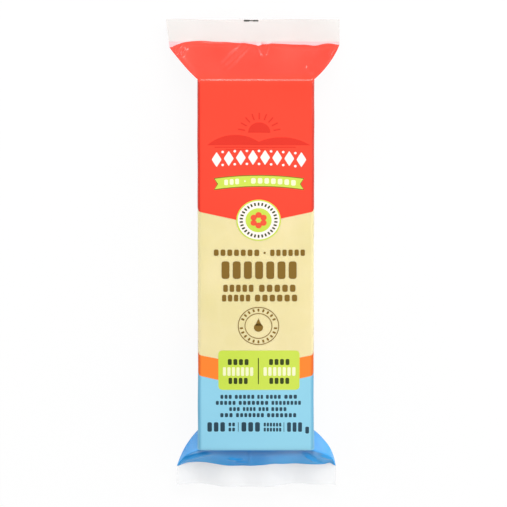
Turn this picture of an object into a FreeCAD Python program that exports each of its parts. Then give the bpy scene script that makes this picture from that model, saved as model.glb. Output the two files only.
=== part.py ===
"""A 200 g bar of cheddar shut in a flow-wrap film, lying on its back.

Millimetres. +Z is up and the printed front faces +Z. The bar runs along Y, with the top of
its label towards +Y. The origin is the middle of the pack's footprint, on the surface it
lies on. There are two solids: the cheese, and the film that is shut round it.
"""

import FreeCAD
import Part

import math
import os

# Cheese bar
cheese_width = 48.0
cheese_length = 166.0
cheese_height = 23.0
cheese_edge_radius = 1.5

# Film
film_wall = 0.10  # one layer
film_gap = 0.05  # between the cheese and the film drawn tight round it
seal_layers = 2  # layers welded together in each end flap
fin_layers = 2  # layers of the long weld, folded flat on the back
fin_width = 12.0

# Ends, where the tube of film closes from the bar's end to a flat weld
closing_length = 11.2
weld_drop = 2.1  # how far each weld lies below half the bar's height
top_flap_length = 10.5
bottom_flap_length = 10.8
top_flap_shift = -1.3  # of the flap's middle from the bar's, across the pack
bottom_flap_shift = 0.2

# Waves of each flap across its width: (height of a crest, distance between crests, a crest's x
# from the bar's middle)
top_flap_waves = [(0.40, 52.0, -9.0), (0.18, 21.0, 4.0)]
bottom_flap_waves = [(2.30, 46.0, -2.5), (1.20, 18.0, 7.0)]
weld_share = 0.9  # how much of its final height a wave has where the flap leaves the bar

# How finely the sections are drawn
front_steps = 40
back_steps = 16  # on each side of the fin
fin_steps = 6
corner_steps = 4
walk_steps = 80

# The tube of film round the bar
film_inset = film_wall + film_gap
tube_width = cheese_width + 2 * film_inset
tube_height = cheese_height + 2 * film_inset
tube_length = cheese_length + 2 * film_inset
tube_corner = cheese_edge_radius + film_inset

# The pressed flaps, which are half of the tube's girth wide before they wave
seal_thickness = seal_layers * film_wall
fin_thickness = fin_layers * film_wall
flap_width = tube_width + tube_height
flap_corner = 0.4 * seal_thickness

# Levels
back_z = fin_thickness
middle_z = back_z + tube_height / 2
weld_z = middle_z - weld_drop


def wave_height(waves, x):
    """How far a flap's middle stands above the weld's level at x."""
    return sum(height * math.cos(math.tau * (x - crest) / apart) for height, apart, crest in waves)


def wave_slope(waves, x):
    return sum(
        -height * math.tau / apart * math.sin(math.tau * (x - crest) / apart)
        for height, apart, crest in waves
    )


def place_across(waves, share, middle, distance):
    """The x at this distance from the flap's middle, measured along its waves."""
    x = middle
    for _ in range(walk_steps):
        x += distance / walk_steps / math.hypot(1, share * wave_slope(waves, x))
    return x


def spaced(start, end, steps):
    """The places from start to end in equal steps, both included."""
    return [start + (end - start) * i / steps for i in range(steps + 1)]


def rounded_side(top, bottom, corner):
    """One side's outline, as (distance outwards, z), from below the front to above the back."""
    turns = spaced(0, math.pi / 2, corner_steps)
    front = [(corner * math.sin(t), top - corner * (1 - math.cos(t))) for t in turns[1:]]
    back = [(corner * math.cos(t), bottom + corner * (1 - math.sin(t))) for t in turns[:-1]]
    return front + back


def section(y, middle, edge_left, edge_right, level, thickness, corner):
    """The film's outline in the plane of y, as a closed polygon with a fixed number of points.

    The front and the back run between the two edges, half of thickness above and below
    level(x). The fin stands out of the back between two steps, about the middle.
    """
    half = thickness / 2
    fin_left = middle - fin_width / 2
    fin_right = middle + fin_width / 2
    points = [(x, level(x) + half) for x in spaced(edge_left, edge_right, front_steps)]
    right = rounded_side(level(edge_right) + half, level(edge_right) - half, corner)
    points += [(edge_right + out, z) for out, z in right]
    points += [(x, level(x) - half) for x in spaced(edge_right, fin_right, back_steps)]
    points += [(x, level(x) - half - fin_thickness) for x in spaced(fin_right, fin_left, fin_steps)]
    points += [(x, level(x) - half) for x in spaced(fin_left, edge_left, back_steps)]
    left = rounded_side(level(edge_left) + half, level(edge_left) - half, corner)
    points += [(edge_left - out, z) for out, z in reversed(left)]
    return Part.makePolygon([FreeCAD.Vector(x, y, z) for x, z in points + points[:1]])


def tube_section(y):
    """Where the film is tight round the bar."""
    edge = tube_width / 2 - tube_corner
    return section(y, 0.0, -edge, edge, lambda x: middle_z, tube_height, tube_corner)


def flap_section(y, middle, waves, share):
    """Where the film is pressed flat, with its waves grown to this share."""
    half_width = flap_width / 2 - flap_corner
    return section(
        y,
        middle,
        place_across(waves, share, middle, -half_width),
        place_across(waves, share, middle, half_width),
        lambda x: weld_z + share * wave_height(waves, x),
        seal_thickness,
        flap_corner,
    )


def closed_end(side, flap_length, flap_shift, waves):
    """The closing of the tube and the flap beyond it. side is 1 at the label's top, -1 below."""
    bar_end = side * tube_length / 2
    weld = bar_end + side * closing_length
    return Part.makeLoft(
        [
            tube_section(bar_end),
            flap_section(weld, flap_shift, waves, weld_share),
            flap_section(weld + side * flap_length, flap_shift, waves, 1.0),
        ],
        True,
        True,
    )


def bar(grown):
    """The bar with rounded edges, larger than the cheese by grown on every side."""
    width, length, height = (
        size + 2 * grown for size in (cheese_width, cheese_length, cheese_height)
    )
    corner = FreeCAD.Vector(-width / 2, -length / 2, middle_z - height / 2)
    block = Part.makeBox(width, length, height, corner)
    return block.makeFillet(cheese_edge_radius + grown, block.Edges)


def film_wrap():
    """The whole film: the tube, both closed ends, and the space in it that the cheese fills."""
    tube = Part.Face(tube_section(-tube_length / 2)).extrude(FreeCAD.Vector(0, tube_length, 0))
    top_end = closed_end(1, top_flap_length, top_flap_shift, top_flap_waves)
    bottom_end = closed_end(-1, bottom_flap_length, bottom_flap_shift, bottom_flap_waves)
    return tube.fuse([top_end, bottom_end]).cut(bar(film_gap)).removeSplitter()


def main():
    os.makedirs("parts", exist_ok=True)
    nodes = {"cheese_block": bar(0.0), "film_wrap": film_wrap()}
    pack_middle = nodes["film_wrap"].BoundBox.Center
    for name, shape in nodes.items():
        shape.translate(FreeCAD.Vector(-pack_middle.x, -pack_middle.y, 0))
        solids = shape.Solids
        box = shape.BoundBox
        print(
            name,
            "solids", len(solids),
            "valid", shape.isValid(),
            "cm3", round(shape.Volume / 1000, 3),
            "box", [round(v, 2) for v in (box.XMin, box.YMin, box.ZMin, box.XMax, box.YMax, box.ZMax)],
        )
        shape.exportStep(f"parts/{name}.step")


main()
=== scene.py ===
import math

import bmesh
import bpy
import numpy as np
from mathutils import Matrix, Vector


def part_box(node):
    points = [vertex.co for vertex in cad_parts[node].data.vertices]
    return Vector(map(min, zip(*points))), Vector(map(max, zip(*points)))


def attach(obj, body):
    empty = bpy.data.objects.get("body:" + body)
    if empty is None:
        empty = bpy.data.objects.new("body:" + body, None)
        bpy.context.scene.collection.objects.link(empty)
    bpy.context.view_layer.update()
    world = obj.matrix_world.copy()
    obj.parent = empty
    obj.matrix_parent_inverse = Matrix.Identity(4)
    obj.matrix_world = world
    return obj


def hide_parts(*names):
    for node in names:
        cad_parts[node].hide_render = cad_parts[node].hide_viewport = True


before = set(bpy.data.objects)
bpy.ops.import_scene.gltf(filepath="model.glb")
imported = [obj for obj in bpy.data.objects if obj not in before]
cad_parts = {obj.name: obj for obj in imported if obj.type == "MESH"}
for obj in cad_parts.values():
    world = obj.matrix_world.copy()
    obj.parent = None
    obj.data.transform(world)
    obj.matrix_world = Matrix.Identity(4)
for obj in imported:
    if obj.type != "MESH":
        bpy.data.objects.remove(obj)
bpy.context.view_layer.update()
mm = 0.001
print("frame loaded")

# places that everything else is measured from
cheeseLow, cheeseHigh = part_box("cheese_block")
filmLow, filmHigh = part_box("film_wrap")
barX = (cheeseLow.x + cheeseHigh.x) / 2
barY = (cheeseLow.y + cheeseHigh.y) / 2
barZ = (cheeseLow.z + cheeseHigh.z) / 2

film = {
    "inset": 0.15 * mm,  # from the film's outside down to the cheese
    "wall": 0.10 * mm,
    "weld": 0.20 * mm,  # two layers pressed together
    "corner": 1.65 * mm,  # round the long edges of the bar
    "cornerLost": 0.8,  # the share of that roundness gone at the weld
    "closing": 11.2 * mm,  # from the end of the bar to the weld
    "weldDrop": 2.1 * mm,  # how far each weld lies below the bar's middle
    "waveAtWeld": 0.9,  # the share of a flap's waves that is there at the weld
    "edgeZone": 4.0 * mm,  # the last stretch of the bar, drawn finer
    "edgeSoftness": 0.35 * mm,  # how gently the front bends over the end of the bar
}
film["width"] = cheeseHigh.x - cheeseLow.x + 2 * film["inset"]
film["length"] = cheeseHigh.y - cheeseLow.y + 2 * film["inset"]
film["height"] = cheeseHigh.z - cheeseLow.z + 2 * film["inset"]
film["flapWidth"] = film["width"] + film["height"]
film["frontZ"] = barZ + film["height"] / 2

# The two ends. A wave is (height, distance between crests, a crest's place). The reaches and creases
# are in millimetres. A reach is where the print runs past the weld, or short of it: (how far, place,
# width). A crease is (start, end, height, width), with its ends given across the pack and out from
# the end of the bar.
topEnd = {
    "flap": filmHigh.y - barY - film["length"] / 2 - film["closing"],
    "shift": -1.3 * mm,  # of the flap's middle from the bar's
    "narrowed": 1.0,  # the share of the film's flat width left between the flap's edges
    "waves": [(0.35 * mm, 52 * mm, -9 * mm), (0.15 * mm, 21 * mm, 4 * mm)],
    "earBulge": (0.26, 0.26),  # how far the outline swells before the weld, left and right
    "tucked": (0.04, 0.0),  # how much narrower the flap is at the weld, left and right
    "puff": 0.35 * mm,  # how far the closing is blown up
    "reaches": [
        (-2.2, -36.5, 4.2),
        (1.0, -22, 7),
        (0.45, -12.5, 4),
        (-0.85, 1, 3),
        (-0.85, 17, 8),
        (-0.8, 24.5, 3),
        (-0.7, 34.5, 3),
    ],
    "creases": [
        ((0.4, 12.2), (3.4, 7.6), 0.76, 0.45),
        ((5.4, 12.0), (3.6, 7.4), 0.65, 0.40),
        ((2.4, 12.0), (3.4, 9.4), -0.54, 0.40),
        ((-4.0, 11.2), (-14.5, 4.2), -0.62, 0.9),
        ((-2.5, 11.0), (-12.6, 3.4), 0.42, 0.8),
        ((-16.0, 2.0), (-5.0, 9.5), 0.18, 1.6),
        ((3.0, 2.0), (22.5, 2.0), -0.18, 0.9),
        ((23.8, 2.0), (20.8, 4.4), -0.45, 0.9),
        ((-33.2, 7.4), (-29.4, 10.4), 1.1, 0.50),
        ((-34.4, 9.0), (-31.2, 11.2), 0.80, 0.40),
        ((-31.6, 6.9), (-28.2, 9.4), -0.60, 0.45),
        ((-24.6, 0.6), (-33.0, 8.6), -0.35, 1.3),
        ((30.0, 7.0), (33.6, 11.0), 0.54, 0.60),
        ((-33.0, 10.3), (-5.0, 10.5), -0.32, 0.45),
        ((7.0, 10.5), (34.0, 10.3), -0.42, 0.50),
    ],
}
bottomEnd = {
    "flap": barY - filmLow.y - film["length"] / 2 - film["closing"],
    "shift": 0.2 * mm,
    "narrowed": 0.93,
    "waves": [(1.7 * mm, 50 * mm, -3.5 * mm), (0.7 * mm, 19 * mm, 6 * mm)],
    "earBulge": (0.18, 0.40),
    "tucked": (0.0, 0.0),
    "puff": 0.25 * mm,
    "reaches": [
        (0.8, 0, 500),
        (1.3, -33, 2.6),
        (0.4, -8, 8),
        (0.3, -2, 3),
        (-0.65, 7, 3.5),
        (0.8, 20, 14),
        (-0.5, 30.8, 1.2),
        (0.9, 33.5, 1.5),
    ],
    "creases": [
        ((-31.6, 8.0), (-19.0, 0.9), -1.1, 0.65),
        ((-31.0, 10.6), (-18.0, 2.8), 0.70, 0.80),
        ((-8.6, 8.6), (-3.4, 9.6), 0.55, 0.45),
        ((-11.5, 6.4), (-5.5, 7.6), 0.9, 0.60),
        ((-2.8, 0.8), (-2.4, 11.0), 0.63, 0.40),
        ((18.5, 0.5), (27.5, 10.2), -1.08, 0.90),
        ((20.5, 5.4), (24.8, 9.8), 0.99, 0.45),
        ((27.0, 4.5), (31.5, 8.4), 0.9, 0.60),
    ],
}

# where one colour of print ends and the next starts, up the label from the bar's middle.
# Each border is a wide V that rises by slope from the middle of the front round to the back.
redBorder = {"middle": 19.2 * mm, "slope": 0.234}
orangeBorder = {"middle": -45.0 * mm, "slope": 0.217}
blueBorder = {"middle": -55.1 * mm, "slope": 0.25}


shot = {
    "tilt": math.radians(22.7),  # from straight above, towards the top of the label
    "lens": 800.0,
    "sensor": 36.0,
    "clip": (0.05, 20.0),
    "across": 210.2 * mm,  # the width seen at the front of the pack
    "right": -0.97 * mm,
    "up": 5.51 * mm,
}


def addCamera():
    back = Vector((0, math.sin(shot["tilt"]), math.cos(shot["tilt"])))
    up = Vector((0, math.cos(shot["tilt"]), -math.sin(shot["tilt"])))
    right = Vector((1, 0, 0))
    lens = bpy.data.cameras.new("camera")
    lens.lens = shot["lens"]
    lens.sensor_width = shot["sensor"]
    lens.clip_start, lens.clip_end = shot["clip"]
    camera = bpy.data.objects.new("camera", lens)
    bpy.context.scene.collection.objects.link(camera)
    aim = Vector((barX, barY, film["frontZ"])) + right * shot["right"] + up * shot["up"]
    place = aim + back * (shot["across"] * lens.lens / lens.sensor_width)
    turn = Matrix((right, up, back)).transposed().to_4x4()
    camera.matrix_world = Matrix.Translation(place) @ turn
    bpy.context.scene.camera = camera


addCamera()
print("camera placed")


def clearSelection():
    if bpy.context.mode != "OBJECT":
        bpy.ops.object.mode_set(mode="OBJECT")
    bpy.ops.object.select_all(action="DESELECT")


def pick(kind, test):
    # selects the faces or edges of the mesh in edit mode that pass the test, and nothing else
    mesh = bmesh.from_edit_mesh(bpy.context.edit_object.data)
    bpy.ops.mesh.select_all(action="DESELECT")
    bpy.ops.mesh.select_mode(type="FACE" if kind == "faces" else "EDGE")
    for item in getattr(mesh, kind):
        if test(item):
            item.select_set(True)
    bmesh.update_edit_mesh(bpy.context.edit_object.data)


def applyAll(piece):
    bpy.context.view_layer.objects.active = piece
    for modifier in list(piece.modifiers):
        bpy.ops.object.modifier_apply(modifier=modifier.name)


def thicken(piece, thickness, offset=-1):
    wall = piece.modifiers.new("wall", "SOLIDIFY")
    wall.thickness = thickness
    wall.offset = offset
    applyAll(piece)


def cutAcross(axis, distance):
    # cuts the whole mesh in edit mode across one axis, at a distance from the bar's middle
    place = [barX, barY, barZ]
    place[axis] += distance
    normal = [0, 0, 0]
    normal[axis] = 1
    bpy.ops.mesh.select_all(action="SELECT")
    bpy.ops.mesh.bisect(plane_co=place, plane_no=normal)


def finishPiece(piece, name, material, smooth):
    clearSelection()
    piece.select_set(True)
    bpy.context.view_layer.objects.active = piece
    bpy.ops.object.transform_apply(location=True, rotation=True, scale=True)
    bpy.ops.object.shade_smooth_by_angle(angle=math.radians(smooth))
    piece.name = name
    piece.data.name = name
    piece.data.materials.clear()
    piece.data.materials.append(material)
    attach(piece, "root")


def coordinates(piece):
    points = np.empty(len(piece.data.vertices) * 3)
    piece.data.vertices.foreach_get("co", points)
    return points.reshape(-1, 3)


def setCoordinates(piece, points):
    piece.data.vertices.foreach_set("co", points.ravel())
    piece.data.update()


# the soft swells of the bar's skin: (height, distance between crests across and along, phase)
swells = [
    (0.050 * mm, 37 * mm, 61 * mm, 0.4),
    (0.045 * mm, -52 * mm, 43 * mm, 2.1),
    (0.030 * mm, 90 * mm, 23 * mm, 1.0),
    (0.020 * mm, 19 * mm, -71 * mm, 5.0),
]


def unevenness(x, y, z):
    # how far the bar's skin stands proud of a true block, less towards the back, which lies flat
    swell = np.zeros(len(x))
    for height, across, along, phase in swells:
        swell += height * np.sin(math.tau * (x / across + y / along) + phase)
    lifted = np.clip((z - barZ) / film["height"] + 0.5, 0, 1)
    return swell * lifted


def waveHeight(waves, x):
    return sum(height * np.cos(math.tau * (x - crest) / apart) for height, apart, crest in waves)


def byEnd(y, key):
    return np.where(y > barY, topEnd[key], bottomEnd[key])


def byCorner(x, y, key):
    return np.where(y > 0, np.where(x < 0, *topEnd[key]), np.where(x < 0, *bottomEnd[key]))


def creaseHeight(end, across, out):
    # the height of all of one end's creases at points given like the creases themselves
    height = np.zeros(len(across))
    for start, stop, rise, width in end["creases"]:
        start = np.array(start) * mm
        way = np.array(stop) * mm - start
        run = np.hypot(*way)
        way /= run
        along = ((across - start[0]) * way[0] + (out - start[1]) * way[1]) / run
        off = (across - start[0]) * way[1] - (out - start[1]) * way[0]
        fade = np.clip(np.minimum(along, 1 - along) * 4 + 0.25, 0, 1)
        height += rise * mm * fade * np.exp(-((off / (width * mm)) ** 2))
    return height


def printReach(end, across):
    out = np.zeros(len(across))
    for far, place, width in end["reaches"]:
        out += far * mm * np.exp(-(((across / mm - place) / width) ** 2))
    return out


def shapeFilm(points):
    # bends a sharp-cornered tube with tapering ends into film drawn round the bar
    x = points[:, 0] - barX
    y = points[:, 1] - barY
    z = points[:, 2] - barZ
    past = np.abs(y) - film["length"] / 2
    share = np.clip(past / film["closing"], 0, 1)
    builtWidth = (film["width"] + (film["flapWidth"] - film["width"]) * share) / 2
    builtHeight = (film["height"] + (film["weld"] - film["height"]) * share) / 2
    across = np.clip(x / builtWidth, -1, 1)
    upright = np.clip(z / builtHeight, -1, 1)
    onSide = np.abs(across) > 0.9999
    upright = np.where(onSide, np.sin(upright * math.pi / 2), upright)

    # half-width, with the ears bulging a little, and half-height, rounded over the bar's end
    earShare = share + byCorner(x, y, "earBulge") * share * (1 - share) * 2
    flapHalf = film["flapWidth"] / 2 * byEnd(points[:, 1], "narrowed") * (1 - byCorner(x, y, "tucked"))
    halfWidth = film["width"] / 2 + (flapHalf - film["width"] / 2) * earShare
    soft = film["edgeSoftness"]
    dropped = soft * np.log1p(np.exp(np.clip(past / soft, -60, 60)))
    slope = (film["height"] - film["weld"]) / 2 / film["closing"]
    halfHeight = np.maximum(film["height"] / 2 - slope * dropped, film["weld"] / 2)
    puff = byEnd(points[:, 1], "puff") * np.sin(math.pi * share) * (1 - across**2)
    halfHeight = halfHeight + np.where(onSide, 0, puff)

    # corners
    corner = np.minimum(film["corner"] * (1 - film["cornerLost"] * share), halfHeight * 0.95)
    sideways = across * halfWidth
    height = upright * halfHeight
    dx = np.abs(sideways) - (halfWidth - corner)
    dz = np.abs(height) - (halfHeight - corner)
    turning = (dx > 0) & (dz > 0)
    reach = np.maximum(np.hypot(dx, dz), 1e-12)
    nx = np.where(turning, dx / reach, onSide)
    nz = np.where(turning, dz / reach, ~onSide)
    sideways = np.where(turning, np.sign(sideways) * (halfWidth - corner + corner * nx), sideways)
    height = np.where(turning, np.sign(height) * (halfHeight - corner + corner * nz), height)

    # the bar's unevenness, then the waves of the flaps
    swell = unevenness(points[:, 0], points[:, 1], height + barZ) * (1 - share)
    sideways += swell * nx * np.sign(sideways)
    height += np.where(height > 0, swell * nz, 0)
    sideways += byEnd(points[:, 1], "shift") * share
    beyond = np.clip((past - film["closing"]) / byEnd(points[:, 1], "flap"), 0, 1)
    waved = share * film["waveAtWeld"] + beyond * (1 - film["waveAtWeld"])
    wave = np.where(y > 0, waveHeight(topEnd["waves"], sideways), waveHeight(bottomEnd["waves"], sideways))
    height += waved * wave - film["weldDrop"] * dropped / film["closing"]
    fold = np.where(y > 0, creaseHeight(topEnd, sideways, past), creaseHeight(bottomEnd, sideways, past))
    height += np.where((upright > 0.5) & ~onSide & (past > 0), fold, 0)
    further = np.where(y > 0, printReach(topEnd, sideways), printReach(bottomEnd, sideways))
    further = further * share**2 * (1 - beyond)
    return np.stack([sideways + barX, points[:, 1] + np.sign(y) * further, height + barZ], axis=1)


# how many cells the tube is divided into, round it and along its stretches
bodyGrid = {"across": 180, "up": 14, "main": 90, "zone": 10, "closing": 36}


def bandOf(alongLabel, fromMiddle):
    # 0 red, 1 window, 2 orange, 3 blue
    band = np.zeros(len(alongLabel), int)
    for number, border in enumerate((redBorder, orangeBorder, blueBorder), start=1):
        band[alongLabel < border["middle"] + border["slope"] * fromMiddle] = number
    return band


def cutBorder(border):
    # cuts the flat sides of the tube along one border, turning with it at each corner
    half = film["width"] / 2
    deep = film["height"]
    for hand in (1, -1):
        start = Vector((barX, barY + border["middle"], 0))
        pick("faces", lambda f: f.normal.z > 0.9 and (f.calc_center_median().x - barX) * hand > 0)
        bpy.ops.mesh.bisect(plane_co=start, plane_no=(border["slope"] * hand, -1, 0))
        sideStart = Vector((0, start.y + border["slope"] * half, film["frontZ"]))
        pick("faces", lambda f: f.normal.x * hand > 0.9)
        bpy.ops.mesh.bisect(plane_co=sideStart, plane_no=(0, -1, -border["slope"]))
        backStart = Vector((barX + hand * half, sideStart.y + border["slope"] * deep, 0))
        pick("faces", lambda f: f.normal.z < -0.9 and (f.calc_center_median().x - barX) * hand > 0)
        bpy.ops.mesh.bisect(plane_co=backStart, plane_no=(-border["slope"] * hand, -1, 0))


def buildTube():
    clearSelection()
    mainLength = film["length"] - 2 * film["edgeZone"]
    bpy.ops.mesh.primitive_cube_add(
        size=1, location=(barX, barY, barZ), scale=(film["width"], mainLength, film["height"])
    )
    tube = bpy.context.object
    bpy.ops.object.transform_apply(location=True, rotation=True, scale=True)
    bpy.ops.object.mode_set(mode="EDIT")
    for hand in (1, -1):
        pick("faces", lambda f: f.normal.y * hand > 0.9)
        bpy.ops.mesh.extrude_region_move(TRANSFORM_OT_translate={"value": (0, hand * film["edgeZone"], 0)})
        bpy.ops.mesh.extrude_region_move(TRANSFORM_OT_translate={"value": (0, hand * film["closing"], 0)})
        bpy.ops.transform.resize(
            value=(film["flapWidth"] / film["width"], 1, film["weld"] / film["height"]),
            center_override=(barX, barY + hand * (film["length"] / 2 + film["closing"]), barZ),
        )
        bpy.ops.mesh.delete(type="ONLY_FACE")

    def span(edge):
        return edge.verts[1].co - edge.verts[0].co

    def divide(test, cells):
        pick("edges", test)
        bpy.ops.mesh.subdivide(number_cuts=cells - 1)

    def reach(edge):
        return abs((edge.verts[0].co.y + edge.verts[1].co.y) / 2 - barY)

    tiny = 1e-6
    divide(lambda e: abs(span(e).y) < tiny and abs(span(e).x) > tiny, bodyGrid["across"])
    divide(lambda e: abs(span(e).y) < tiny and abs(span(e).x) < tiny, bodyGrid["up"])
    divide(lambda e: abs(span(e).y) > tiny and reach(e) < mainLength / 2, bodyGrid["main"])
    zoneMiddle = (mainLength + film["edgeZone"]) / 2
    divide(lambda e: abs(span(e).y) > tiny and abs(reach(e) - zoneMiddle) < tiny, bodyGrid["zone"])
    divide(lambda e: abs(span(e).y) > tiny and reach(e) > film["length"] / 2, bodyGrid["closing"])
    for border in (redBorder, orangeBorder, blueBorder):
        cutBorder(border)
    bpy.ops.object.mode_set(mode="OBJECT")
    return tube


def sortIntoBands(tube, materials):
    # gives every face its colour by how far round the tube and along the label it lies
    count = len(tube.data.polygons)
    centres = np.empty(count * 3)
    normals = np.empty(count * 3)
    tube.data.polygons.foreach_get("center", centres)
    tube.data.polygons.foreach_get("normal", normals)
    centres = centres.reshape(-1, 3) - np.array([barX, barY, barZ])
    normals = normals.reshape(-1, 3)
    side = np.abs(normals[:, 2]) < 0.3
    back = normals[:, 2] < -0.3
    half = film["width"] / 2
    fromMiddle = np.abs(centres[:, 0])
    fromMiddle = np.where(side, half + film["height"] / 2 - centres[:, 2], fromMiddle)
    fromMiddle = np.where(back, 2 * half + film["height"] - np.abs(centres[:, 0]), fromMiddle)
    bands = bandOf(centres[:, 1], fromMiddle)
    bands = np.where(centres[:, 1] > film["length"] / 2, 0, bands)
    bands = np.where(centres[:, 1] < -film["length"] / 2, 3, bands)
    for material in materials:
        tube.data.materials.append(material)
    tube.data.polygons.foreach_set("material_index", bands.astype(np.int32))
    tube.data.update()


def newMaterial(name):
    material = bpy.data.materials.new(name)
    material.use_nodes = True
    tree = material.node_tree
    return material, tree.nodes, tree.links, tree.nodes["Principled BSDF"]


def addNode(nodes, kind, **settings):
    node = nodes.new(kind)
    for name, value in settings.items():
        if name in node.inputs:
            node.inputs[name].default_value = value
        else:
            setattr(node, name, value)
    return node


def mapRange(nodes, links, value, to, within=(0.0, 1.0), smooth=False):
    # turns a value within one range into the matching value of another
    node = nodes.new("ShaderNodeMapRange")
    node.interpolation_type = "SMOOTHSTEP" if smooth else "LINEAR"
    for name, level in zip(("From Min", "From Max", "To Min", "To Max"), (*within, *to)):
        node.inputs[name].default_value = level
    links.new(value, node.inputs["Value"])
    return node.outputs[0]


skin = {
    "broad": 70.0,  # scale of the soft waves
    "fine": 420.0,  # scale of the ripple
    "fineShare": 0.25,
    "depth": 0.6 * mm,
    "patches": (-0.05, 0.07),  # how far the roughness strays
}


def makeSkinGroup():
    # the film's own surface: soft drawn waves, fine ripple and uneven gloss
    group = bpy.data.node_groups.new("filmSkin", "ShaderNodeTree")
    socket = group.interface.new_socket
    socket("Gloss", in_out="INPUT", socket_type="NodeSocketFloat")
    socket("Ripple", in_out="INPUT", socket_type="NodeSocketFloat")
    socket("Roughness", in_out="OUTPUT", socket_type="NodeSocketFloat")
    socket("Normal", in_out="OUTPUT", socket_type="NodeSocketVector")
    nodes, links = group.nodes, group.links
    given = nodes.new("NodeGroupInput")
    out = nodes.new("NodeGroupOutput")
    place = nodes.new("ShaderNodeTexCoord")
    broad = addNode(nodes, "ShaderNodeTexNoise", Scale=skin["broad"], Detail=2.0, Roughness=0.5)
    fine = addNode(nodes, "ShaderNodeTexNoise", Scale=skin["fine"], Detail=3.0, Roughness=0.55)
    for noise in (broad, fine):
        links.new(place.outputs["Object"], noise.inputs["Vector"])
    both = addNode(nodes, "ShaderNodeMath", operation="MULTIPLY_ADD")
    both.inputs[1].default_value = skin["fineShare"]
    links.new(fine.outputs["Fac"], both.inputs[0])
    links.new(broad.outputs["Fac"], both.inputs[2])
    bump = addNode(nodes, "ShaderNodeBump", Distance=skin["depth"])
    links.new(both.outputs[0], bump.inputs["Height"])
    links.new(given.outputs["Ripple"], bump.inputs["Strength"])
    patch = mapRange(nodes, links, broad.outputs["Fac"], skin["patches"], (0.1, 0.9), True)
    total = addNode(nodes, "ShaderNodeMath", operation="ADD")
    links.new(given.outputs["Gloss"], total.inputs[0])
    links.new(patch, total.inputs[1])
    links.new(total.outputs[0], out.inputs["Roughness"])
    links.new(bump.outputs["Normal"], out.inputs["Normal"])
    return group


skinGroup = makeSkinGroup()


def addSkin(nodes, links, principled, gloss, ripple):
    surface = nodes.new("ShaderNodeGroup")
    surface.node_tree = skinGroup
    surface.inputs["Gloss"].default_value = gloss
    surface.inputs["Ripple"].default_value = ripple
    links.new(surface.outputs["Roughness"], principled.inputs["Roughness"])
    links.new(surface.outputs["Normal"], principled.inputs["Normal"])


def colour(shade):
    # linear colour from display values of 0 to 255
    levels = [v / 255 for v in shade]
    return (*(((v + 0.055) / 1.055) ** 2.4 if v > 0.04045 else v / 12.92 for v in levels), 1)


def flatColour(nodes, shade):
    node = nodes.new("ShaderNodeRGB")
    node.outputs[0].default_value = colour(shade)
    return node.outputs[0]


def noiseTint(nodes, links, first, second, scale, detail=1.0):
    # a patchy mix of two near shades
    place = nodes.new("ShaderNodeTexCoord")
    noise = addNode(nodes, "ShaderNodeTexNoise", Scale=scale, Detail=detail)
    links.new(place.outputs["Object"], noise.inputs["Vector"])
    ramp = nodes.new("ShaderNodeValToRGB")
    ramp.color_ramp.elements[0].position = 0.2
    ramp.color_ramp.elements[1].position = 0.8
    ramp.color_ramp.elements[0].color = colour(first)
    ramp.color_ramp.elements[1].color = colour(second)
    links.new(noise.outputs["Fac"], ramp.inputs["Fac"])
    return ramp.outputs["Color"]


def axisMask(nodes, links, axis, start, stop, mirrored=False):
    # 0 at start and 1 at stop, measured from the bar's middle along one axis, or both ways from it
    place = nodes.new("ShaderNodeTexCoord")
    parts = nodes.new("ShaderNodeSeparateXYZ")
    links.new(place.outputs["Object"], parts.inputs[0])
    value = addNode(nodes, "ShaderNodeMath", operation="SUBTRACT")
    value.inputs[1].default_value = barX if axis == "X" else barY
    links.new(parts.outputs[axis], value.inputs[0])
    if mirrored:
        size = addNode(nodes, "ShaderNodeMath", operation="ABSOLUTE")
        links.new(value.outputs[0], size.inputs[0])
        value = size
    return mapRange(nodes, links, value.outputs[0], (0.0, 1.0), (start, stop), True)


def multiply(nodes, links, first, second):
    product = addNode(nodes, "ShaderNodeMath", operation="MULTIPLY")
    links.new(first, product.inputs[0])
    links.new(second, product.inputs[1])
    return product.outputs[0]


def mixColours(nodes, links, mask, first, second):
    mix = addNode(nodes, "ShaderNodeMix", data_type="RGBA")
    links.new(mask, mix.inputs["Factor"])
    links.new(first, mix.inputs["A"])
    links.new(second, mix.inputs["B"])
    return mix.outputs["Result"]


barEnd = film["length"] / 2
weldEnd = barEnd + film["closing"]
ink = {
    "gloss": 0.2,
    "ripple": 0.25,
    "ior": 1.45,
    "patches": 22.0,  # scale of the small changes of shade
    "endPatches": 60.0,
    # the two rim spans bound the edge colour, which is painted shade along the bar's long corners
    "rim": (1.7 * mm, 0.5 * mm),  # in from the bar's side: where the edge shade starts and is full
    "rimEnd": (0.5 * mm, -1.0 * mm),  # out from the bar's end: where the edge shade starts and is full
    "sideFade": 2.0 * mm,
}


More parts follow.
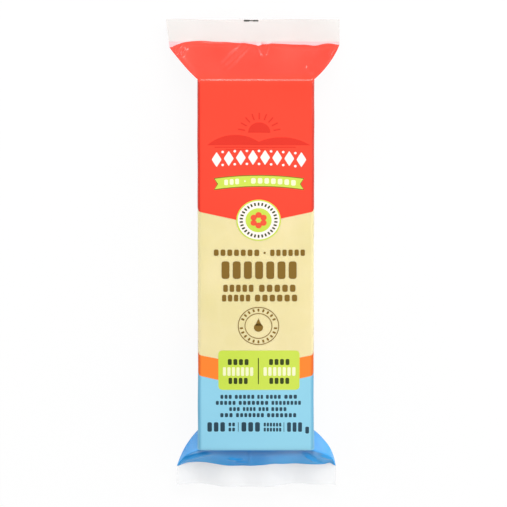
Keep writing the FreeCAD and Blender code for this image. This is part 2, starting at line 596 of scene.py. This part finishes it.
def inkMaterial(name, first, second, edge=None, paintedEndShades=(), specular=0.4):
    # ink printed under the film. Its edge colour is painted shade along the bar's long corners, and each of
    # its painted end shades is (first, second, start, stop, out to): painted shade past the end of the bar
    material, nodes, links, principled = newMaterial(name)
    tint = noiseTint(nodes, links, first, second, ink["patches"])
    # painted shade along the bar's long corners
    if edge:
        sideways = [film["width"] / 2 - inward for inward in ink["rim"]]
        lengthways = [barEnd + outward for outward in ink["rimEnd"]]
        rim = axisMask(nodes, links, "X", *sideways, mirrored=True)
        onBar = axisMask(nodes, links, "Y", *lengthways, mirrored=True)
        mask = multiply(nodes, links, rim, onBar)
        tint = mixColours(nodes, links, mask, tint, flatColour(nodes, edge))
    # painted shade on the closings past the ends of the bar
    for endFirst, endSecond, start, stop, outTo in paintedEndShades:
        paintedEndTint = noiseTint(nodes, links, endFirst, endSecond, ink["endPatches"])
        mask = axisMask(nodes, links, "Y", start, stop)
        if outTo:
            between = axisMask(nodes, links, "X", outTo + ink["sideFade"], outTo, mirrored=True)
            mask = multiply(nodes, links, mask, between)
        tint = mixColours(nodes, links, mask, tint, paintedEndTint)
    links.new(tint, principled.inputs["Base Color"])
    principled.inputs["IOR"].default_value = ink["ior"]
    principled.inputs["Specular IOR Level"].default_value = specular
    addSkin(nodes, links, principled, ink["gloss"], ink["ripple"])
    return material


clearFilm = {
    "ior": 1.5,
    "patches": 60.0,
    "slant": (0.25, 0.45),  # how soon, and how much, slanting film looks more solid
    "pressedFade": (0.5 * mm, -1.5 * mm),  # out from each weld
}


def clearMaterial(name, first, second, solid, gloss, ripple, seamInkAndSheen=None, pressed=None):
    # clear film: mostly open, with a milky trace and its gloss kept. The seam colour by the weld is bled
    # print on the top flap and a painted highlight on the bottom flap: its shade, and where along the label
    # it is full and has faded out. Pressed is how much of the milkiness is left past both welds
    material, nodes, links, principled = newMaterial(name)
    tint = noiseTint(nodes, links, first, second, clearFilm["patches"])
    soon, much = clearFilm["slant"]
    edge = addNode(nodes, "ShaderNodeLayerWeight", Blend=soon)
    opacity = mapRange(nodes, links, edge.outputs["Facing"], (solid, min(solid + much, 1)))
    if pressed is not None:
        fade = [weldEnd + outward for outward in clearFilm["pressedFade"]]
        kept = axisMask(nodes, links, "Y", *fade, mirrored=True)
        kept.node.inputs["To Min"].default_value = pressed
        opacity = multiply(nodes, links, opacity, kept)
    if seamInkAndSheen:
        shade, full, gone = seamInkAndSheen
        near = axisMask(nodes, links, "Y", gone, full)
        tint = mixColours(nodes, links, near, tint, flatColour(nodes, shade))
        fuller = addNode(nodes, "ShaderNodeMath", operation="MAXIMUM")
        links.new(near, fuller.inputs[0])
        links.new(opacity, fuller.inputs[1])
        opacity = fuller.outputs[0]
    links.new(tint, principled.inputs["Base Color"])
    links.new(opacity, principled.inputs["Alpha"])
    principled.inputs["IOR"].default_value = clearFilm["ior"]
    addSkin(nodes, links, principled, gloss, ripple)
    return material


# a pressed curd's fine knit lines and grain
curd = {
    "shades": ((230, 219, 152), (246, 231, 180)),
    "patches": 30.0,
    "knit": (250, 242, 205),  # shade of the lines where curds meet
    "knitShare": 0.10,
    "knitWidth": 0.12,
    "curdScale": 95.0,
    "grainScale": 900.0,
    "grainDepth": 0.2 * mm,
    "rough": (0.38, 0.62),
    "ior": 1.4,
}


def cheeseMaterial():
    material, nodes, links, principled = newMaterial("cheddar")
    place = nodes.new("ShaderNodeTexCoord")
    body = noiseTint(nodes, links, *curd["shades"], curd["patches"], 2.0)
    cells = addNode(nodes, "ShaderNodeTexVoronoi", feature="DISTANCE_TO_EDGE", Scale=curd["curdScale"])
    links.new(place.outputs["Object"], cells.inputs["Vector"])
    distance = cells.outputs["Distance"]
    knit = mapRange(nodes, links, distance, (curd["knitShare"], 0.0), (0.0, curd["knitWidth"]))
    tint = mixColours(nodes, links, knit, body, flatColour(nodes, curd["knit"]))
    links.new(tint, principled.inputs["Base Color"])
    grain = addNode(nodes, "ShaderNodeTexNoise", Scale=curd["grainScale"], Detail=4.0)
    links.new(place.outputs["Object"], grain.inputs["Vector"])
    bump = addNode(nodes, "ShaderNodeBump", Distance=curd["grainDepth"], Strength=0.35)
    links.new(grain.outputs["Fac"], bump.inputs["Height"])
    links.new(bump.outputs["Normal"], principled.inputs["Normal"])
    links.new(mapRange(nodes, links, grain.outputs["Fac"], curd["rough"]), principled.inputs["Roughness"])
    principled.inputs["IOR"].default_value = curd["ior"]
    return material


redInk = inkMaterial(
    "redInk",
    (250, 68, 48),
    (254, 74, 54),
    # the edge colour is painted shade along the long corners, and the end colours are painted shade on the
    # top closing
    edge=(206, 50, 34),
    paintedEndShades=[((244, 66, 52), (250, 78, 64), barEnd - 1 * mm, barEnd + 3 * mm, 0)],
)
# its edge colour is painted shade along the long corners
orangeInk = inkMaterial("orangeInk", (250, 128, 46), (254, 136, 54), edge=(226, 104, 38))
blueInk = inkMaterial(
    "blueInk",
    (138, 198, 222),
    (148, 208, 228),
    # the edge colour is painted shade along the long corners. The end colours are painted shade on the
    # bottom closing, darkest just under the front edge as a painted shadow
    edge=(112, 176, 206),
    paintedEndShades=[
        ((76, 158, 226), (94, 176, 240), -barEnd + 0.3 * mm, -barEnd - 0.6 * mm, 0),
        ((0, 106, 180), (2, 120, 194), -barEnd + 0.1 * mm, -barEnd - 0.4 * mm, film["width"] / 2 - 1 * mm),
        ((22, 142, 222), (58, 174, 244), -barEnd - 1.4 * mm, -barEnd - 6.5 * mm, 0),
    ],
    specular=0.12,
)
windowFilm = clearMaterial(
    "windowFilm", (250, 244, 220), (252, 248, 232), solid=0.05, gloss=0.18, ripple=0.25
)
flapFilmTop = clearMaterial(
    "flapFilmTop",
    # these greys are painted shade, darker than the bottom flap's tint for the same film; the seam colour is
    # red print bled into the weld
    (230, 228, 224),
    (238, 236, 233),
    solid=0.5,
    gloss=0.16,
    ripple=0.35,
    seamInkAndSheen=((247, 204, 208), weldEnd - 0.3 * mm, weldEnd + 1.3 * mm),
)
finFilm = clearMaterial(
    "finFilm", (238, 238, 236), (248, 248, 246), solid=0.38, gloss=0.2, ripple=0.3, pressed=0.15
)
flapFilmBottom = clearMaterial(
    "flapFilmBottom",
    # these near-white tints are painted light that lifts the shade under this flap, and the seam colour is a
    # painted highlight along the weld
    (250, 250, 250),
    (255, 255, 255),
    solid=0.5,
    gloss=0.14,
    ripple=0.45,
    seamInkAndSheen=((222, 232, 246), -weldEnd + 0.5 * mm, -weldEnd - 1.2 * mm),
)
deepRedInk = inkMaterial("deepRedInk", (216, 48, 34), (226, 56, 42))
flowerInk = inkMaterial("flowerInk", (236, 84, 56), (242, 94, 64))
limeInk = inkMaterial("limeInk", (190, 214, 70), (206, 224, 88))
brownInk = inkMaterial("brownInk", (124, 92, 34), (138, 108, 46))
darkInk = inkMaterial("darkInk", (38, 62, 74), (50, 76, 92))
mossInk = inkMaterial("mossInk", (50, 62, 24), (64, 76, 34))
markInk = inkMaterial("markInk", (64, 64, 60), (92, 92, 88))
whiteInk = inkMaterial("whiteInk", (246, 232, 224), (252, 242, 236))
paleInk = inkMaterial("paleInk", (236, 238, 186), (242, 242, 204))
cheddar = cheeseMaterial()
print("materials made")


tube = buildTube()
sortIntoBands(tube, [redInk, windowFilm, orangeInk, blueInk])
setCoordinates(tube, shapeFilm(coordinates(tube)))
print("tube drawn", len(tube.data.polygons))

clearSelection()
tube.select_set(True)
bpy.context.view_layer.objects.active = tube
bpy.ops.object.mode_set(mode="EDIT")
bpy.ops.mesh.select_all(action="SELECT")
bpy.ops.mesh.separate(type="MATERIAL")
bpy.ops.object.mode_set(mode="OBJECT")
bands = {
    "redInk": ("film_red", redInk, "red_print"),
    "windowFilm": ("film_window", windowFilm, "clear_film"),
    "orangeInk": ("film_orange", orangeInk, "orange_print"),
    "blueInk": ("film_blue", blueInk, "blue_print"),
}
for piece in list(bpy.context.selected_objects):
    name, material, slot = bands[piece.material_slots[piece.data.polygons[0].material_index].material.name]
    thicken(piece, film["wall"])
    finishPiece(piece, name, material, 60)
    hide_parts("film_wrap")
print("film split by colour")


# the long weld on the back: two unprinted margins crimped together and folded flat
fin = {
    "width": 12.0 * mm,
    "thickness": 0.2 * mm,
    "inset": 0.2 * mm,  # from the cut edges of the flaps
    "sunk": 0.02 * mm,  # into the film it lies on
    "crimpStep": 1.5 * mm,
    "crimpDepth": 0.045 * mm,
    "margin": 0.8 * mm,  # each side, where the crimp fades out
    "cells": (16, 840),
}


def addSheet(middle, size, cells):
    # a flat grid in the level of the bar's middle
    clearSelection()
    across, along = cells
    bpy.ops.mesh.primitive_grid_add(x_subdivisions=across, y_subdivisions=along, size=1, location=middle)
    sheet = bpy.context.object
    bpy.ops.transform.resize(value=(*size, 1))
    bpy.ops.object.transform_apply(location=True, rotation=True, scale=True)
    return sheet, coordinates(sheet)


def buildFin():
    top = barY + weldEnd + topEnd["flap"] - fin["inset"]
    bottom = barY - weldEnd - bottomEnd["flap"] + fin["inset"]
    middle = (barX, (top + bottom) / 2, barZ)
    strip, flat = addSheet(middle, (fin["width"], top - bottom), fin["cells"])
    past = np.abs(flat[:, 1] - barY) - film["length"] / 2
    share = np.clip(past / film["closing"], 0, 1)
    flat[:, 2] = barZ - (film["height"] + (film["weld"] - film["height"]) * share) / 2
    shaped = shapeFilm(flat)
    crimp = 0.5 - 0.5 * np.cos(math.tau * flat[:, 1] / fin["crimpStep"])
    margin = np.clip((fin["width"] / 2 - np.abs(flat[:, 0] - barX)) / fin["margin"], 0, 1)
    shaped[:, 2] += fin["sunk"] * (1 - share) + fin["crimpDepth"] * crimp * margin
    setCoordinates(strip, shaped)
    thicken(strip, fin["thickness"] + fin["sunk"])
    finishPiece(strip, "fin_weld", finFilm, 60)
    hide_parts("film_wrap")


flapCells = (150, 24)


def buildFlap(end, hand, name, material):
    start = barY + hand * weldEnd
    middle = (barX, start + hand * end["flap"] / 2, barZ)
    flap, flat = addSheet(middle, (film["flapWidth"], end["flap"]), flapCells)
    half = film["flapWidth"] / 2
    across = (flat[:, 0] - barX) / half
    beyond = np.abs(flat[:, 1] - start) / end["flap"]
    tucked = np.where(across < 0, *end["tucked"]) * (1 - beyond)
    sideways = across * half * end["narrowed"] * (1 - tucked) + end["shift"]
    waved = film["waveAtWeld"] + (1 - film["waveAtWeld"]) * beyond
    height = waved * waveHeight(end["waves"], sideways) - film["weldDrop"]
    out = film["closing"] + beyond * end["flap"]
    height += creaseHeight(end, sideways, out) * (1 - beyond)
    further = hand * printReach(end, sideways) * (1 - beyond)
    setCoordinates(flap, np.stack([barX + sideways, flat[:, 1] + further, barZ + height], axis=1))
    thicken(flap, film["weld"], 0)
    finishPiece(flap, name, material, 60)
    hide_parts("film_wrap")


buildFlap(topEnd, 1, "flap_top", flapFilmTop)
buildFlap(bottomEnd, -1, "flap_bottom", flapFilmBottom)
buildFin()
print("flaps made")


# What is printed on the front, all in millimetres from the bar's middle: across, then up the label.
# Text is left out: a row holds plain rounded blocks, and each of its words is (left, right, blocks).
# Layers keep one shape above another.
printed = {
    "lift": 0.02,
    "layer": 0.014,
    "thickness": 0.11,
    "cell": 3.0,
    "blockShare": 0.70,
    "rounding": 0.3,  # of a block's corners, as a share of its shorter side
    "dotShare": 0.16,  # of a row's height
}

landscape = {
    "hills": [(-8.5, 42.0, 17.0), (10.5, 36.0, 22.0)],  # across, up, radius
    "horizon": 54.4,
    "sun": (1.4, 60.0, 4.6),
    "rays": 9,
    "ray": (5.9, 8.9, 0.6, 0.4),  # from, to, width, rounding
    "furrows": [(-17.0, 16.5, 53.3, 53.75), (-12.5, 3.5, 52.3, 52.65)],
}
garland = {
    "middle": (1.3, 49.0),
    "count": 8,
    "step": 5.0,
    "size": (4.1, 6.8),
    "rounding": 0.35,
    "arch": 0.0032,
    "dot": 0.55,
    "dotIn": 0.5,
}
ribbon = {"middle": (1.3, 38.5), "size": (36.6, 4.6), "arch": 0.0041, "notch": 1.4, "edge": 0.42}
ribbonRow = {"low": 37.3, "high": 39.8, "words": [(-13.4, -6.6, 3), (-2.4, 16.9, 7)], "dot": -4.5}
badge = {
    "middle": (1.14, 20.9),
    "disc": 8.65,
    "rim": 9.2,
    "heart": 5.4,
    "ticks": 30,
    "tick": (6.5, 7.9, 0.72),  # from, to, width
    "petals": 6,
    "petal": (2.35, 1.32),
}
brownRows = [
    {"low": 4.9, "high": 7.7, "words": [(-17.8, 1.8, 7), (5.6, 20.7, 6)], "dot": 3.65},
    {"low": -5.45, "high": 2.4, "words": [(-14.9, 17.6, 7)]},
    {"low": -11.3, "high": -8.1, "words": [(-13.9, -0.6, 5), (0.9, 16.9, 5)]},
    {"low": -15.6, "high": -12.6, "words": [(-14.4, -2.0, 5), (-0.8, 17.6, 6)]},
]
seal = {
    "middle": (1.1, -26.7),
    "outer": 8.55,
    "inner": 5.75,
    "line": 0.30,
    "ticks": 22,
    "tick": (6.5, 7.8, 0.75),
    "drop": (-0.7, 1.9),  # how far up, radius
    "dropTip": (1.2, 1.62, 1.35),  # how far up, radius, how much taller
}
panel = {"box": (-15.6, 18.2, -55.6, -37.8), "rounding": 0.085, "line": (0.86, 1.26, -53.0, -41.1)}
panelRows = [
    {"low": -44.3, "high": -41.6, "words": [(-12.0, -2.7, 4), (5.2, 14.3, 4)]},
    {"low": -52.9, "high": -50.1, "words": [(-11.7, -3.1, 4), (5.3, 14.2, 4)]},
]
panelPaleRows = [{"low": -49.2, "high": -45.3, "words": [(-14.0, -0.8, 7), (2.9, 16.8, 7)]}]
darkRows = [
    {
        "low": -59.65,
        "high": -57.85,
        "words": [(-15, -9.8, 3), (-9, -0.4, 5), (0.4, 3.2, 2), (4, 10.6, 4), (11.6, 17.4, 3)],
    },
    {"low": -62.4, "high": -60.6, "words": [(-16.9, -8.2, 5), (-7.4, 5.4, 7), (6.3, 19, 8)]},
    {"low": -65.2, "high": -63.45, "words": [(-11.3, -6.5, 3), (-5.6, 0.1, 4), (0.9, 5.5, 3), (6.2, 13, 4)]},
    {"low": -68.0, "high": -66.15, "words": [(-15.1, -9.4, 3), (-8.5, 3.6, 7), (4.4, 17.1, 7)]},
    {"low": -74.6, "high": -70.3, "words": [(-20.6, -12.5, 3), (-6.4, 2.1, 3), (12.7, 19.6, 3)]},
    {"low": -72.2, "high": -70.5, "words": [(-11.6, -8.5, 2), (3.1, 10.8, 6)]},
    {"low": -74.5, "high": -72.8, "words": [(-11.6, -8.5, 2), (3.1, 10.8, 6)]},
    {"low": -75.4, "high": -72.3, "words": [(20.3, 22.5, 1)]},
]
dividers = [(-7.45, -7.2, -74.6, -70.3), (11.6, 11.85, -74.6, -70.3)]
# the registration mark, cut through where the film was parted: each dab is (left, right, thickness)
eyeMark = {
    "dabs": [(-5.0, -2.5, 0.85), (-2.9, -1.0, 0.40), (-1.3, 1.1, 0.70)],
    "rounding": 0.45,
    "fromEdge": 0.5,
    "lift": 0.12,
    "thickness": 0.04,
}


def onLabel(across, up, layer):
    return (barX + across * mm, barY + up * mm, layer * printed["layer"] * mm)


def startInk():
    # an empty mesh in edit mode, which the shapes of one ink are added to
    clearSelection()
    bpy.ops.mesh.primitive_plane_add(size=mm)
    bpy.ops.object.mode_set(mode="EDIT")
    bpy.ops.mesh.select_mode(type="VERT")
    bpy.ops.mesh.delete(type="VERT")


def addBlock(left, right, low, high, layer=0, rounding=printed["rounding"], turn=0.0, turnAbout=None):
    middle = onLabel((left + right) / 2, (low + high) / 2, layer)
    bpy.ops.mesh.select_all(action="DESELECT")
    bpy.ops.mesh.primitive_plane_add(size=mm, location=middle)
    bpy.ops.transform.resize(value=(right - left, high - low, 1), center_override=middle)
    if rounding:
        offset = rounding * min(right - left, high - low) * mm
        bpy.ops.mesh.bevel(offset=offset, segments=2, affect="VERTICES")
    if turn:
        bpy.ops.transform.rotate(value=turn, orient_axis="Z", center_override=onLabel(*turnAbout, layer))


def addDisc(across, up, radius, layer=0, steps=40, tall=1.0):
    middle = onLabel(across, up, layer)
    bpy.ops.mesh.select_all(action="DESELECT")
    bpy.ops.mesh.primitive_circle_add(vertices=steps, radius=radius * mm, fill_type="NGON", location=middle)
    if tall != 1.0:
        bpy.ops.transform.resize(value=(1, tall, 1), center_override=middle)


def addRing(across, up, outer, inner, layer=0, steps=64):
    addDisc(across, up, outer, layer, steps)
    bpy.ops.mesh.inset(thickness=(outer - inner) * mm)
    bpy.ops.mesh.delete(type="FACE")


def addTick(middle, tick, turn, layer, rounding=printed["rounding"]):
    # a short bar that points at the middle, turned about it from straight above
    across, up = middle
    start, stop, width = tick
    left = across - width / 2
    addBlock(left, left + width, up + start, up + stop, layer, rounding, turn, middle)


def addTicks(shape, layer, skip=()):
    for i in range(shape["ticks"]):
        if i not in skip:
            addTick(shape["middle"], shape["tick"], math.tau * i / shape["ticks"], layer)


def addRows(rows, layer=0, arch=0.0, middle=0.0):
    for row in rows:
        for left, right, count in row["words"]:
            step = (right - left) / count
            width = step * printed["blockShare"]
            for i in range(count):
                start = left + step * (i + (1 - printed["blockShare"]) / 2)
                sink = arch * (start + step / 2 - middle) ** 2
                addBlock(start, start + width, row["low"] - sink, row["high"] - sink, layer)
        if "dot" in row:
            up = (row["low"] + row["high"]) / 2 - arch * (row["dot"] - middle) ** 2
            radius = (row["high"] - row["low"]) * printed["dotShare"]
            addDisc(row["dot"], up, radius, layer, 12)


def addRibbon(grown, layer):
    # a band that arches across the label, with a notch cut in each end
    width = ribbon["size"][0] + 2 * grown
    height = ribbon["size"][1] + 2 * grown
    middle = onLabel(*ribbon["middle"], layer)
    bpy.ops.mesh.select_all(action="DESELECT")
    bpy.ops.mesh.primitive_grid_add(x_subdivisions=24, y_subdivisions=2, size=mm, location=middle)
    bpy.ops.transform.resize(value=(width, height, 1), center_override=middle)
    mesh = bmesh.from_edit_mesh(bpy.context.edit_object.data)
    for vertex in mesh.verts:
        if vertex.select:
            off = vertex.co.x - middle[0]
            onMiddle = abs(vertex.co.y - middle[1]) < 0.01 * mm
            if abs(off) > (width / 2 - 0.01) * mm and onMiddle:
                vertex.co.x -= math.copysign(ribbon["notch"] * mm, off)
            vertex.co.y -= ribbon["arch"] * (off / mm) ** 2 * mm
    bmesh.update_edit_mesh(bpy.context.edit_object.data)


def finishInk(name, material):
    # slices the shapes into small cells, lays them on the film and gives them a thickness
    cell = printed["cell"] * mm
    for axis, reach in ((0, film["width"] / 2), (1, film["length"] / 2)):
        cuts = int(reach / cell)
        for i in range(-cuts, cuts + 1):
            cutAcross(axis, i * cell)
    bpy.ops.object.mode_set(mode="OBJECT")
    piece = bpy.context.object
    points = coordinates(piece)
    points[:, 2] += film["frontZ"] + printed["lift"] * mm
    points[:, 2] += unevenness(points[:, 0], points[:, 1], points[:, 2])
    setCoordinates(piece, points)
    thicken(piece, printed["thickness"] * mm)
    finishPiece(piece, name, material, 30)


def printRed():
    startInk()
    for across, up, radius in landscape["hills"]:
        addDisc(across, up, radius, 0 if across < 0 else 1, 72)
        level = onLabel(0, landscape["horizon"], 0)
        bpy.ops.mesh.bisect(plane_co=level, plane_no=(0, 1, 0), clear_inner=True)
    across, up, radius = landscape["sun"]
    addDisc(across, up, radius, 2, 40)
    bpy.ops.mesh.bisect(plane_co=onLabel(0, up, 0), plane_no=(0, 1, 0), clear_inner=True)
    for i in range(landscape["rays"]):
        turn = math.pi * ((i + 0.5) / landscape["rays"] - 0.5)
        addTick((across, up), landscape["ray"][:3], turn, 2, landscape["ray"][3])
    for left, right, low, high in landscape["furrows"]:
        addBlock(left, right, low, high)
    finishInk("print_landscape", deepRedInk)

    startInk()
    across, up = badge["middle"]
    far, radius = badge["petal"]
    for i in range(badge["petals"]):
        turn = math.tau * i / badge["petals"]
        addDisc(across + far * math.sin(turn), up + far * math.cos(turn), radius, 3, 20)
    finishInk("print_flower", flowerInk)


def printWhite():
    startInk()
    across, up = garland["middle"]
    wide, tall = garland["size"]
    for i in range(garland["count"]):
        off = (i - (garland["count"] - 1) / 2) * garland["step"]
        sink = garland["arch"] * off**2
        addDisc(across + off, up - sink, wide / 2, 0, 4, tall / wide)
        bpy.ops.mesh.bevel(offset=garland["rounding"] * mm, segments=2, affect="VERTICES")
        if i:
            for hand in (-1, 1):
                dotUp = up - sink + hand * (tall / 2 - garland["dotIn"])
                addDisc(across + off - garland["step"] / 2, dotUp, garland["dot"], 0, 14)
    addDisc(*badge["middle"], badge["disc"], 1, 72)
    finishInk("print_white", whiteInk)

    startInk()
    addRows([ribbonRow], 3, ribbon["arch"], ribbon["middle"][0])
    addRows(panelPaleRows, 2)
    finishInk("print_pale", paleInk)


def printLime():
    startInk()
    addRibbon(0.0, 2)
    addBlock(*panel["box"], 0, panel["rounding"])
    addRing(*badge["middle"], badge["rim"], badge["disc"], 1, 72)
    addDisc(*badge["middle"], badge["heart"], 2, 56)
    finishInk("print_lime", limeInk)


def printBrown():
    startInk()
    addRibbon(ribbon["edge"], 0)
    addRows(brownRows)
    across, up = seal["middle"]
    addRing(across, up, seal["outer"], seal["outer"] - seal["line"], 0, 72)
    addRing(across, up, seal["inner"], seal["inner"] - seal["line"], 0, 56)
    quarter = seal["ticks"] // 4
    addTicks(seal, 0, (quarter, seal["ticks"] - quarter))
    above, radius = seal["drop"]
    addDisc(across, up + above, radius, 0, 32)
    above, radius, tall = seal["dropTip"]
    addDisc(across, up + above, radius, 0, 3, tall)
    finishInk("print_brown", brownInk)


def printDark():
    startInk()
    addRows(darkRows)
    for divider in dividers:
        addBlock(*divider)
    finishInk("print_dark", darkInk)

    startInk()
    addRows(panelRows, 2)
    addBlock(*panel["line"], 2)
    addTicks(badge, 3)
    finishInk("print_moss", mossInk)


def printEyeMark():
    startInk()
    edge = (weldEnd + topEnd["flap"]) / mm - eyeMark["fromEdge"]
    for left, right, thick in eyeMark["dabs"]:
        addBlock(left, right, edge - thick / 2, edge + thick / 2, 0, eyeMark["rounding"])
    bpy.ops.object.mode_set(mode="OBJECT")
    piece = bpy.context.object
    points = coordinates(piece)
    weldZ = barZ - film["weldDrop"]
    points[:, 2] = weldZ + eyeMark["lift"] * mm + waveHeight(topEnd["waves"], points[:, 0] - barX)
    setCoordinates(piece, points)
    thicken(piece, eyeMark["thickness"] * mm)
    finishPiece(piece, "print_eye_mark", markInk, 30)


printEyeMark()
printRed()
printWhite()
printLime()
printBrown()
printDark()
print("print laid on the front")


cheeseBar = {
    "rounding": 1.5 * mm,
    "steps": 4,  # round each edge
    "cell": 2.5 * mm,
    "uncut": 2.0 * mm,  # at each side and end
}


def buildCheese():
    clearSelection()
    size = cheeseHigh - cheeseLow
    bpy.ops.mesh.primitive_cube_add(size=1, location=(barX, barY, barZ), scale=size)
    block = bpy.context.object
    bpy.ops.object.transform_apply(location=True, rotation=True, scale=True)
    bpy.ops.object.mode_set(mode="EDIT")
    bpy.ops.mesh.select_all(action="SELECT")
    bpy.ops.mesh.bevel(
        offset=cheeseBar["rounding"], segments=cheeseBar["steps"], profile=0.5, affect="EDGES"
    )
    for axis in (1, 0):
        count = int(size[axis] / cheeseBar["cell"])
        for i in range(1, count):
            cutAcross(axis, (i / count - 0.5) * (size[axis] - 2 * cheeseBar["uncut"]))
    bpy.ops.object.mode_set(mode="OBJECT")
    points = coordinates(block)
    swell = unevenness(points[:, 0], points[:, 1], points[:, 2])
    front = points[:, 2] > barZ
    points[front, 2] += swell[front]
    setCoordinates(block, points)
    finishPiece(block, "cheddar_bar", cheddar, 50)
    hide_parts("cheese_block")


buildCheese()
print("cheese made")


studio = {
    "floor": 40.0,
    "paper": 0.9,
    "paperGlow": 0.92,  # how much of the floor in view is plain white
    "air": (0.33, 1.0),  # strength of the light all round, as it lights and as it is seen
}
# each lamp is (name, place, what it points at, size, power)
lamps = [
    ("softboxTop", (0.15, 0.80, 0.85), (0, 0.02, 0), (0.7, 0.4), 8.8),
    ("softboxLow", (0.42, 0.95, 0.26), (0, 0.09, 0), (0.22, 0.12), 1.6),
    ("softboxLowLeft", (-0.46, 0.90, 0.22), (0, 0.09, 0), (0.16, 0.10), 1.9),
    ("softboxFoot", (0.16, -0.95, 0.34), (0, -0.09, 0), (0.22, 0.10), 1.1),
    ("softboxLeft", (-0.8, 0.0, 0.6), (0, 0, 0), (0.35, 0.9), 2.4),
    ("softboxRight", (0.8, -0.1, 0.6), (0, 0, 0), (0.35, 0.9), 3.4),
]


def buildStage():
    clearSelection()
    bpy.ops.mesh.primitive_plane_add(size=studio["floor"], location=(0, 0, 0))
    floor = bpy.context.object
    floor.name = "floor"
    material = bpy.data.materials.new("floorPaper")
    material.use_nodes = True
    nodes, links = material.node_tree.nodes, material.node_tree.links
    nodes.clear()
    out = nodes.new("ShaderNodeOutputMaterial")
    paper = addNode(nodes, "ShaderNodeBsdfDiffuse", Color=(*[studio["paper"]] * 3, 1))
    lift = addNode(nodes, "ShaderNodeEmission", Color=(1, 1, 1, 1))
    path = nodes.new("ShaderNodeLightPath")
    seen = addNode(nodes, "ShaderNodeMath", operation="MAXIMUM")
    links.new(path.outputs["Is Camera Ray"], seen.inputs[0])
    links.new(path.outputs["Is Transmission Ray"], seen.inputs[1])
    level = addNode(nodes, "ShaderNodeMath", operation="MULTIPLY")
    level.inputs[1].default_value = studio["paperGlow"]
    links.new(seen.outputs[0], level.inputs[0])
    blend = nodes.new("ShaderNodeMixShader")
    links.new(level.outputs[0], blend.inputs["Fac"])
    links.new(paper.outputs[0], blend.inputs[1])
    links.new(lift.outputs[0], blend.inputs[2])
    links.new(blend.outputs[0], out.inputs["Surface"])
    floor.data.materials.append(material)

    world = bpy.data.worlds.new("studio")
    bpy.context.scene.world = world
    world.use_nodes = True
    nodes, links = world.node_tree.nodes, world.node_tree.links
    path = nodes.new("ShaderNodeLightPath")
    strength = mapRange(nodes, links, path.outputs["Is Camera Ray"], studio["air"])
    links.new(strength, nodes["Background"].inputs["Strength"])
    nodes["Background"].inputs["Color"].default_value = (1, 1, 1, 1)


def addLamp(name, place, aim, size, power):
    light = bpy.data.lights.new(name, "AREA")
    light.shape = "RECTANGLE"
    light.size, light.size_y = size
    light.energy = power
    lamp = bpy.data.objects.new(name, light)
    bpy.context.scene.collection.objects.link(lamp)
    lamp.location = place
    lamp.rotation_mode = "QUATERNION"
    lamp.rotation_quaternion = (Vector(place) - Vector(aim)).to_track_quat("Z", "Y")


buildStage()
for lamp in lamps:
    addLamp(*lamp)
bpy.context.scene.view_settings.view_transform = "Standard"
print("stage and lamps set")
